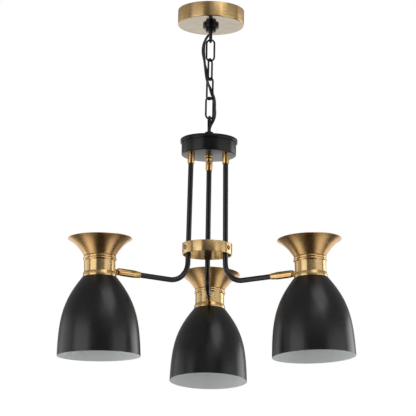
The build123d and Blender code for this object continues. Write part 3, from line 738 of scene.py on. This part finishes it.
def addCanopyLoop(size):
    low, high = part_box("canopy_loop")
    collarFoot = high[2] - size["collarHeight"]
    leg = (size["width"] - size["wire"]) / 2
    path = loopPath(leg, collarFoot + size["root"], low[2] + size["wire"] / 2 + leg, size)
    collar = [
        (rodHole, high[2]),
        (size["collar"], high[2], size["lip"]),
        (size["collar"], collarFoot, size["edge"]),
        (size["inlet"], collarFoot),
        (size["inlet"], collarFoot + size["inletDepth"]),
        (rodHole, collarFoot + size["coneDepth"]),
    ]
    addPiece("canopyLoop", loopOnCollar(path, collar, size), "ceiling_mount", "canopy_loop")


addCanopy(canopySizes)
addRingNut(ringNutSizes)
addCanopyLoop(canopyLoopSizes)
print("ceiling end made")


# Chain: oval links, each turned about the chain's line as it hangs in the photo

linkSizes = {"wire": 0.0034, "length": 0.0429, "width": 0.0174}
linkYaws = (0.0, 64.0, 141.0, 204.0)


def addLinks(size):
    for index, yaw in enumerate(linkYaws):
        low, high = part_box(f"chain_link_{index + 1}")
        mesh = yawed(grow(ovalLink, material=finishes["blackGloss"], **size), yaw)
        placed(mesh, Matrix.Translation((0, 0, (low[2] + high[2]) / 2)))
        addPiece(f"ovalLink_{index + 1}", mesh, f"link_{index + 1}", f"chain_link_{index + 1}")


addLinks(linkSizes)
print("chain made")


# Hub

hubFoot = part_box("hub_cup")[0][2]
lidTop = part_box("hub_lid")[1][2]
hubLoopSizes = {
    "wire": 0.0038, "width": 0.017, "footWidth": 0.014, "height": 0.0306, "collar": 0.00725,
    "collarHeight": 0.014, "edge": 0.0008, "inlet": 0.0031, "inletEdge": 0.0004, "root": 0.001, "sides": 24,
    "arcSteps": 24, "yaw": 284.0,
}
lidSizes = {"wall": 0.002, "plate": 0.0015, "edge": 0.0012, "lip": 0.0004, "innerLip": 0.0003, "steps": 144}
cupSizes = {"wall": 0.0012, "floor": 0.0015, "edge": 0.0018, "innerEdge": 0.0008, "steps": 144}
finialSizes = {
    "flange": 0.0065, "flangeHeight": 0.0026, "flangeLip": 0.0002, "flangeEdge": 0.0009,
    "threadDepth": 0.0017, "ball": 0.0054, "drop": 0.0062, "overlap": 0.0003, "ballSteps": 22, "steps": 64,
}


def addHubLoop(size):
    collarTop = lidTop + size["collarHeight"]
    arc = (size["width"] - size["wire"]) / 2
    foot = (size["footWidth"] - size["wire"]) / 2
    arcZ = collarTop + size["height"] - size["wire"] / 2 - arc
    rootZ = collarTop - size["root"]
    toRoot = math.atan2(rootZ - arcZ, foot)
    touch = toRoot + math.acos(arc / math.hypot(foot, rootZ - arcZ))
    over = arcOnAxis(arc, arcZ, touch, math.pi - 2 * touch, size["arcSteps"])
    collar = [
        (size["inlet"], collarTop, size["inletEdge"]),
        (size["inlet"], lidTop),
        (size["collar"], lidTop),
        (size["collar"], collarTop, size["edge"]),
    ]
    loop = loopOnCollar([(foot, rootZ), *over, (-foot, rootZ)], collar, size)
    addPiece("hubLoop", loop, "fixture", "hub_loop")


def addLid(size):
    low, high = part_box("hub_lid")
    radius = high[0]
    inside = radius - size["wall"]
    under = lidTop - size["plate"]
    outline = [
        (rodHole, lidTop),
        (radius, lidTop, size["edge"]),
        (radius, low[2], size["lip"]),
        (inside, low[2], size["innerLip"]),
        (inside, under),
        (rodHole, under),
    ]
    addPiece("hubLid", joinMeshes([lathe(outline, size["steps"])], "hubBlack"), "fixture", "hub_lid")


def addCup(size):
    low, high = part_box("hub_cup")
    radius, top = high[0], high[2]
    inside = radius - size["wall"]
    floorTop = hubFoot + size["floor"]
    outline = [
        (inside, top),
        (radius, top),
        (radius, hubFoot, size["edge"]),
        (rodHole, hubFoot),
        (rodHole, floorTop),
        (inside, floorTop, size["innerEdge"]),
    ]
    addPiece("hubCup", joinMeshes([lathe(outline, size["steps"])], "hubBlack"), "fixture", "hub_cup")


def addFinial(size):
    flangeFoot = hubFoot - size["flangeHeight"]
    threadTop = hubFoot - size["threadDepth"]
    ballZ = hubFoot - size["drop"]
    start = math.asin((flangeFoot + size["overlap"] - ballZ) / size["ball"])
    ball = arcOnAxis(size["ball"], ballZ, start, -(start + math.pi / 2), size["ballSteps"])
    flange = rounded([
        (0.0, threadTop),
        (rodHole, threadTop),
        (rodHole, hubFoot),
        (size["flange"], hubFoot, size["flangeLip"]),
        (size["flange"], flangeFoot, size["flangeEdge"]),
    ])
    mesh = joinMeshes([lathe(flange + ball, size["steps"])], "fineBrass")
    addPiece("finial", mesh, "fixture", "hub_finial")


addHubLoop(hubLoopSizes)
addLid(lidSizes)
addCup(cupSizes)
addFinial(finialSizes)
print("hub made")


# Arms

pivotX, pivotY, pivotZ = joints["head_tilt_1"]["pos_m"]
pivotRadius = math.hypot(pivotX, pivotY)
tubeSizes = {
    "radius": 0.00465, "hubRadius": 0.0354,
    "splay": 0.78,  # degrees from upright
    "rise": 2.0,  # degrees from level
    "stand": 0.0128, "bend": 0.034,
}
ferruleSizes = {
    "radius": 0.00625, "bore": 0.0047, "length": 0.0195, "stand": 0.0003, "edge": 0.0011,
    "shoulderEdge": 0.0004, "footEdge": 0.0003, "steps": 56,
}
ringSizes = {"wall": 0.0018, "edge": 0.0005, "steps": 160}
sleeveSizes = {
    "radius": 0.0067, "length": 0.0415, "depth": 0.014, "bore": 0.0047, "boreEdge": 0.0003, "edge": 0.0018,
    "slotWidth": 0.0056, "slotDepth": 0.0057,
    "rings": (5.0, 3.0, 1.8, 1.25),  # slot depths from the pin; they keep the cut from pulling the side
    "domeSteps": 12, "steps": 64, "bevel": 0.00025, "bevelSteps": 2, "bevelAngle": 40.0,
}


def armYaw(index):
    position = joints[f"head_tilt_{index + 1}"]["pos_m"]
    return math.atan2(position[1], position[0])


def addTubes(size):
    splay = math.tan(math.radians(size["splay"]))
    rise = math.tan(math.radians(size["rise"]))
    drop = hubFoot - pivotZ
    cornerRadius = (size["hubRadius"] + (drop + pivotRadius * rise) * splay) / (1 + splay * rise)
    tubeEnd = sleeveSizes["length"] - sleeveSizes["depth"]
    top = (size["hubRadius"] - size["stand"] * splay, 0.0, hubFoot + size["stand"])
    corner = (cornerRadius, 0.0, pivotZ - (pivotRadius - cornerRadius) * rise)
    end = (pivotRadius - tubeEnd, 0.0, pivotZ - tubeEnd * rise)
    values = {"top": top, "corner": corner, "end": end, "bend": size["bend"], "radius": size["radius"]}
    for index in range(headCount):
        mesh = grow(bentTube, material=finishes["blackSatin"], **values)
        placed(mesh, Matrix.Rotation(armYaw(index), 4, "Z"))
        addPiece(f"armTube_{index + 1}", mesh, "fixture", f"arm_tube_{index + 1}")


def addFerrules(size):
    foot = -size["length"]
    outline = [
        (size["bore"], size["stand"]),
        (size["radius"], size["stand"]),
        (size["radius"], foot + size["edge"], size["shoulderEdge"]),
        (size["radius"] - size["edge"], foot, size["footEdge"]),
        (size["bore"], foot),
    ]
    tilt = rotation(-tubeSizes["splay"], "Y")
    beside = Matrix.Translation((tubeSizes["hubRadius"], 0, hubFoot)) @ tilt
    ferrule = linked("ferrule", placed(lathe(outline, size["steps"]), beside))
    values = {"piece": ferrule, "count": headCount, "firstAngle": armYaw(0)}
    mesh = grow(roundColumn, material=finishes["fineBrass"], **values)
    bpy.data.objects.remove(ferrule)
    addPiece("ferrules", mesh, "fixture", "arm_ferrules")


def addRing(size):
    low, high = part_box("centre_ring")
    bore = high[0] - size["wall"]
    corners = ((bore, low[2]), (high[0], low[2]), (high[0], high[2]), (bore, high[2]))
    outline = [(radius, height, size["edge"]) for radius, height in corners]
    addPiece("ring", joinMeshes([lathe(outline, size["steps"])], "neckBrass"), "fixture", "centre_ring")


def slotCutter(size):
    form = bmesh.new()
    bmesh.ops.create_cube(form, size=1.0)
    reach = size["slotDepth"] + 2 * size["radius"]
    scale = Matrix.Diagonal((4 * size["radius"], size["slotWidth"], reach, 1))
    form.transform(Matrix.Translation((0, 0, reach / 2 - size["slotDepth"])) @ scale)
    return linked("slot", finishMesh(form))


def slottedSleeve(size):
    # a round bar along Z with a domed end at the pin, bored for the tube and slotted for the head's tongue
    foot = -size["length"]
    back = rounded([
        (0.0, foot + size["depth"]),
        (size["bore"], foot + size["depth"]),
        (size["bore"], foot, size["boreEdge"]),
        (size["radius"], foot, size["edge"]),
    ])
    side = [Vector((size["radius"], -part * size["slotDepth"])) for part in size["rings"]]
    dome = arcOnAxis(size["radius"], 0.0, 0.0, math.pi / 2, size["domeSteps"])
    body = linked("body", lathe(back + side + dome, size["steps"]))
    slot = slotCutter(size)
    cut = body.modifiers.new("cut", "BOOLEAN")
    cut.operation = "DIFFERENCE"
    cut.object = slot
    soften = body.modifiers.new("soften", "BEVEL")
    soften.width = size["bevel"]
    soften.segments = size["bevelSteps"]
    soften.angle_limit = math.radians(size["bevelAngle"])
    mesh = meshOf(body)
    bpy.data.objects.remove(slot)
    return joinMeshes([mesh], "fineBrass")


def addSleeves(size):
    # the sleeve's axis turns from Z to the arm's outward line, which rises by the tube's angle
    outward = rotation(90 - tubeSizes["rise"], "Y")
    place = Matrix.Translation((pivotRadius, 0, pivotZ)) @ outward
    for index in range(headCount):
        mesh = placed(slottedSleeve(size), Matrix.Rotation(armYaw(index), 4, "Z") @ place)
        addPiece(f"sleeve_{index + 1}", mesh, "fixture", f"knuckle_sleeve_{index + 1}")


addTubes(tubeSizes)
addFerrules(ferruleSizes)
addRing(ringSizes)
addSleeves(sleeveSizes)
print("arms made")


# Lamp heads, each built round its own axis at its joint's height, then placed by its joint and socket

headSizes = {"offset": 0.0361, "neckTop": 0.0252, "neckFoot": -0.012, "boltHole": 0.00305}
neckSizes = {
    "radius": 0.0269, "wall": 0.0012, "plate": 0.002, "shoulder": 0.0264, "ridge": 0.0282, "groove": 0.0276,
    "bead": 0.0291, "foot": 0.0291, "ridgeHeight": 0.0048, "beadHeight": 0.0048, "flareHeight": 0.0086,
    "flareStep": 0.0005, "steps": 128,
}
trumpetSizes = {
    "height": 0.0295, "narrow": 0.0274, "narrowAngle": 29.5, "narrowReach": 0.0128, "rim": 0.0556,
    "rimAngle": 61.2, "rimReach": 0.0146, "wall": 0.0012, "plate": 0.002, "rings": 28, "segments": 144,
}
shadeSizes = {
    "height": 0.1365, "narrow": 0.0291, "narrowAngle": 38.8, "narrowReach": 0.054, "rim": 0.0716,
    "rimAngle": 1.85, "rimReach": 0.0645, "wall": 0.001, "plate": 0.0012, "plateInset": 0.0004,
    "hole": 0.0201, "rings": 56, "segments": 168,
}
holderSizes = {
    "cap": 0.017, "capPlate": 0.008, "capEdge": 0.002, "shoulder": 0.0235, "shoulderHeight": 0.0032,
    "shoulderLip": 0.0005, "shoulderEdge": 0.0003, "skirt": 0.020, "skirtLength": 0.027, "skirtLip": 0.0008,
    "shell": 0.01395, "shellLip": 0.0004, "ribs": 6, "ribDrop": 0.006, "ribPitch": 0.003, "ribDepth": 0.0004,
    "ribStep": 0.0005, "steps": 72,
}
contactSizes = {
    "bore": 0.01375, "sheet": 0.00025, "length": 0.022, "inset": 0.004, "turns": 6, "turnSteps": 12,
    "waveDepth": 0.00036, "steps": 72, "seat": 0.0045, "seatHeight": 0.0025, "seatEdge": 0.001,
    "seatSteps": 48,
}


def headPlace(index):
    joint = joints[f"head_tilt_{index + 1}"]
    up = -Vector(socketMounts[index]["axis"])
    across = Vector(joint["axis"])
    outward = across.cross(up)
    turn = Matrix((outward, across, up)).transposed().to_4x4()
    return Matrix.Translation(joint["pos_m"]) @ turn @ Matrix.Translation((headSizes["offset"], 0, 0))


def radial(face):
    return (face.calc_center_median() * Vector((1, 1, 0))).normalized()


def handle(radius, height, reach, angle, upwards):
    # a curve's handle off a (radius, height) end, at an angle from the axis
    slope = math.radians(angle)
    return (radius + reach * math.sin(slope), 0.0, height + upwards * reach * math.cos(slope))


def flaredShell(size, narrowZ, upwards, *finishNames):
    # a curve from the narrow end to the rim, turned and given its wall on the inner side:
    # the first finish lines the inside, the last one is the outside and the rim
    narrow, rim = size["narrow"], size["rim"]
    rimZ = narrowZ + upwards * size["height"]
    values = {
        "start": (narrow, 0.0, narrowZ),
        "startHandle": handle(narrow, narrowZ, size["narrowReach"], size["narrowAngle"], upwards),
        "endHandle": handle(rim, rimZ, -size["rimReach"], size["rimAngle"], upwards),
        "end": (rim, 0.0, rimZ),
        "rings": size["rings"],
        "segments": size["segments"],
    }
    form = formOf(grow(bell, material=finishes[finishNames[0]], **values))
    if sum(face.normal.dot(radial(face)) for face in form.faces) < 0:
        bmesh.ops.reverse_faces(form, faces=form.faces)
    obj = linked("shell", finishMesh(form, *finishNames))
    thick = obj.modifiers.new("wall", "SOLIDIFY")
    thick.thickness = size["wall"]
    thick.offset = -1.0
    thick.use_even_offset = True
    form = formOf(meshOf(obj))
    bmesh.ops.recalc_face_normals(form, faces=form.faces)
    for face in form.faces:
        face.material_index = 0 if face.normal.dot(radial(face)) < 0 else len(finishNames) - 1
    return finishMesh(form, *finishNames)


def flatRing(inner, outer, startZ, endZ):
    return lathe([(inner, startZ), (outer, startZ), (outer, endZ), (inner, endZ)])


def makeNeck(size):
    top, foot = headSizes["neckTop"], headSizes["neckFoot"]
    radius, hole = size["radius"], headSizes["boltHole"]
    ridgeZ = top - size["ridgeHeight"]
    beadZ = ridgeZ - size["beadHeight"]
    flareZ = foot + size["flareHeight"]
    shoulder, groove = (size["shoulder"], top), (size["groove"], ridgeZ)
    outline = arcThrough(shoulder, (size["ridge"], (top + ridgeZ) / 2), groove)
    outline += arcThrough(groove, (size["bead"], (ridgeZ + beadZ) / 2), (radius, beadZ))
    outline += [Vector((radius, beadZ)), Vector((radius, flareZ))]
    flareMiddle = (size["foot"] - size["flareStep"] / 2, (flareZ + foot) / 2)
    outline += arcThrough((radius + size["flareStep"], flareZ), flareMiddle, (size["foot"], foot))
    inside, plateFoot = radius - size["wall"], top - size["plate"]
    outline += [(size["foot"], foot), (inside, foot), (inside, plateFoot), (hole, plateFoot), (hole, top)]
    return joinMeshes([lathe(outline, size["steps"])], "neckBrass")


def makeTrumpet(size):
    foot = headSizes["neckTop"]
    cone = flaredShell(size, foot, 1, "trumpetBrass")
    floor = flatRing(headSizes["boltHole"], size["narrow"] - size["wall"], foot, foot + size["plate"])
    return joinMeshes([cone, floor], "trumpetBrass")


def makeShade(size):
    top = headSizes["neckFoot"]
    shell = flaredShell(size, top, -1, "shadeInside", "blackSatin")
    plate = flatRing(size["hole"], size["narrow"] - size["plateInset"], top, top - size["plate"])
    return joinMeshes([shell, plate], "shadeInside", "blackSatin")


def makeHolder(size):
    top = headSizes["neckTop"] - neckSizes["plate"]
    foot = headSizes["neckFoot"]
    hole, skirt = headSizes["boltHole"], size["skirt"]
    shoulderZ = foot + size["shoulderHeight"]
    skirtFoot = foot - size["skirtLength"]
    ribs = []
    for rib in range(size["ribs"]):
        ribTop = foot - size["ribDrop"] - rib * size["ribPitch"]
        for step, depth in enumerate((0.0, size["ribDepth"], size["ribDepth"], 0.0)):
            ribs.append((skirt - depth, ribTop - step * size["ribStep"]))
    outline = [
        (hole, top),
        (size["cap"], top, size["capEdge"]),
        (size["cap"], shoulderZ),
        (size["shoulder"], shoulderZ, size["shoulderLip"]),
        (size["shoulder"], foot, size["shoulderEdge"]),
        (skirt, foot),
        *ribs,
        (skirt, skirtFoot, size["skirtLip"]),
        (size["shell"], skirtFoot, size["shellLip"]),
        (size["shell"], top - size["capPlate"]),
        (hole, top - size["capPlate"]),
    ]
    return joinMeshes([lathe(outline, size["steps"])], "blackPlastic")


def makeContacts(size):
    # the rolled thread of the screw shell, and the centre contact
    foot = headSizes["neckFoot"] - holderSizes["skirtLength"] + size["inset"]
    steps = size["turnSteps"] * size["turns"]
    inner = []
    for step in range(steps + 1):
        depth = size["waveDepth"] * (1 - math.cos(2 * math.pi * step / size["turnSteps"])) / 2
        inner.append((size["bore"] - depth, foot + size["length"] * step / steps))
    outer = [(radius + size["sheet"], height) for radius, height in reversed(inner)]
    shell = lathe(inner + outer, size["steps"])
    seatZ = headSizes["neckTop"] - neckSizes["plate"] - holderSizes["capPlate"]
    seatFoot = seatZ - size["seatHeight"]
    face = (size["seat"], seatFoot, size["seatEdge"])
    seat = [(0.0, seatFoot), face, (size["seat"], seatZ), (0.0, seatZ)]
    return joinMeshes([shell, lathe(seat, size["seatSteps"])], "contactBrass")


headPieces = (
    ("brassNeck", "neck", makeNeck, neckSizes),
    ("brassTrumpet", "trumpet", makeTrumpet, trumpetSizes),
    ("blackShade", "shade", makeShade, shadeSizes),
    ("holder", "lampholder", makeHolder, holderSizes),
    ("contacts", "socket_contacts", makeContacts, contactSizes),
)
for index in range(headCount):
    place = headPlace(index)
    for pieceName, nodeName, makeMesh, size in headPieces:
        mesh = placed(makeMesh(size), place)
        addPiece(f"{pieceName}_{index + 1}", mesh, f"head_{index + 1}", f"{nodeName}_{index + 1}")
print("heads made")


# Stage: a pale floor far below, a white backdrop for the camera and soft lights

floorLook = {
    "height": -3.6, "size": 5.0, "cloud": 2.0, "dark": (0.80, 0.80, 0.80), "light": (0.84, 0.84, 0.84),
    "roughness": 0.9,
}
lightAim = Vector((0, 0, -0.45))
# degrees round Z from the camera's side, distance, height, width, tallness and level
softLights = {
    "leftBox": (-46.0, 2.8, -0.70, 2.3, 2.2, 1.65),
    "leftSide": (-102.0, 2.8, -0.72, 2.6, 2.15, 0.85),
    "rightBox": (66.0, 2.8, -0.72, 3.0, 2.15, 1.2),
    "rightSide": (122.0, 2.8, -0.1, 1.8, 0.8, 2.4),
    "lowLeft": (-75.0, 1.5, -2.2, 1.3, 1.3, 1.35),
    "lowRight": (80.0, 1.5, -2.2, 1.3, 1.3, 1.2),
    "wideStrip": (21.0, 1.45, 0.46, 1.2, 0.3, 0.8),
    "strip": (36.0, 1.4, 0.46, 0.27, 0.3, 1.9),
    "topBox": (38.0, 1.4, 1.35, 1.4, 1.2, 1.5),
}
# levels, and the limits of the view's direction between which they change
surroundings = {
    "front": 0.03, "overhead": 0.28, "behind": 1.1, "overheadFrom": (0.18, 0.3), "behindFrom": (0.1, 0.5),
    "riseFrom": (-0.44, -0.34), "fallFrom": (0.28, -0.1),
}


def addFloor(look):
    form = bmesh.new()
    bmesh.ops.create_grid(form, x_segments=1, y_segments=1, size=look["size"] / 2)
    material, tree, shader = startMaterial("paleFloor", {"Roughness": look["roughness"]})
    cloud = useGroup(tree, cloudAndGrain, {"Cloud scale": look["cloud"]})["Cloud"]
    tree.links.new(mixColours(tree, cloud, look), shader.inputs["Base Color"])
    mesh = finishMesh(form)
    mesh.materials.append(material)
    floor = linked("floor", placed(mesh, Matrix.Translation((0, 0, look["height"]))))
    floor.visible_glossy = False


def addLights(lights):
    for name, (azimuth, distance, height, width, tall, level) in lights.items():
        data = bpy.data.lights.new(name, "AREA")
        data.shape = "RECTANGLE"
        data.size = width
        data.size_y = tall
        data.energy = level * math.pi * width * tall
        angle = math.radians(azimuth)
        place = Vector((math.sin(angle), -math.cos(angle), 0)) * distance
        place.z = height
        turn = (lightAim - place).to_track_quat("-Z", "Y").to_matrix().to_4x4()
        linked(name, data).matrix_world = Matrix.Translation(place) @ turn


def addWorld(look):
    # dark on the camera's side and below, grey overhead and bright behind, as a white backdrop makes it
    world = bpy.data.worlds.new("studio")
    world.use_nodes = True
    bpy.context.scene.world = world
    tree = world.node_tree
    tree.nodes.clear()
    parts = splitXyz(tree, addNode(tree, "ShaderNodeTexCoord").outputs["Generated"])
    nearLevel = mapRange(tree, parts["Z"], look["overheadFrom"], (look["front"], look["overhead"]))
    depth = mapRange(tree, parts["Y"], look["behindFrom"])
    rise = mapRange(tree, parts["Z"], look["riseFrom"])
    fall = mapRange(tree, parts["Z"], look["fallFrom"])
    behind = maths(tree, "MULTIPLY", depth, maths(tree, "MULTIPLY", rise, fall))
    level = mapRange(tree, behind, wanted=(nearLevel, look["behind"]))
    light = addOutput(tree, "ShaderNodeBackground", {"Color": (1, 1, 1, 1), "Strength": level})
    white = addOutput(tree, "ShaderNodeBackground", {"Color": (1, 1, 1, 1), "Strength": 1.0})
    seen = addNode(tree, "ShaderNodeLightPath").outputs["Is Camera Ray"]
    mix = addOutput(tree, "ShaderNodeMixShader", {0: seen, 1: light, 2: white})
    addNode(tree, "ShaderNodeOutputWorld", {"Surface": mix})


addFloor(floorLook)
addLights(softLights)
addWorld(surroundings)
bpy.context.scene.view_settings.view_transform = "Standard"
print("stage made")
